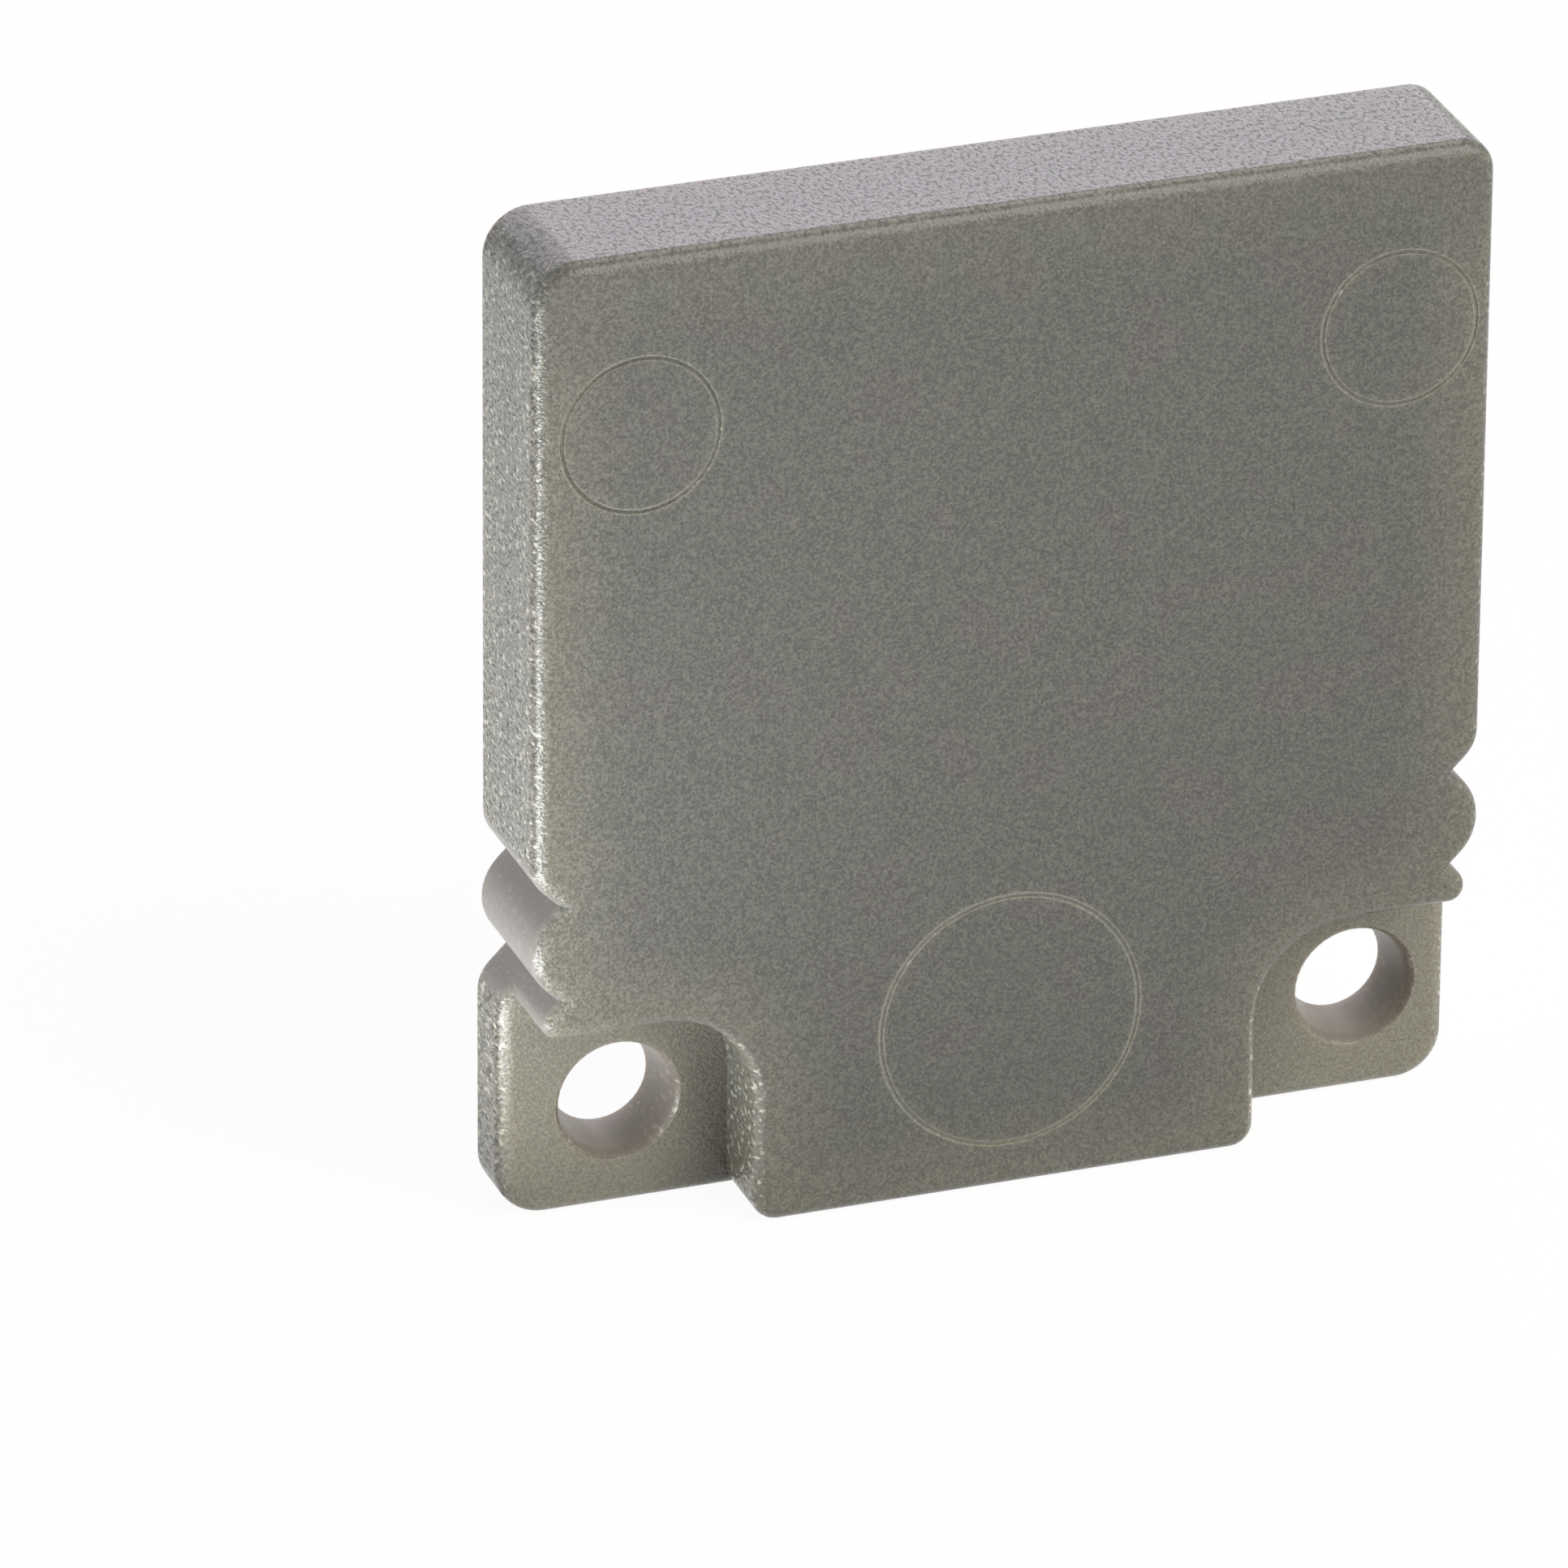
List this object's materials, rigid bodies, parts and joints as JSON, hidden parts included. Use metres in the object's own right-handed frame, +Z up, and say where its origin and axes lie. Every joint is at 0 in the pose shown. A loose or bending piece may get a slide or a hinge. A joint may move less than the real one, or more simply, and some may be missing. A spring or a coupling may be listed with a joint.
{
  "type": "profile end cap",
  "caption": "Flat moulded end cap with grooved sides and a centre tongue between two thin screw tabs, screwed to the cut end of a profile.",
  "frame": {"origin": "middle of the bottom edge, halfway through the thickness", "axes": "+X across the plate, +Y from the front face to the flat back, +Z up from the screw tabs to the straight top"},
  "size_m": [0.0242, 0.0038, 0.0257],
  "materials": {
    "end_cap": "fine spark-eroded moulding, warm grey"
  },
  "bodies": {
    "root": {"end_cap": "end_cap"}
  },
  "joints": []
}
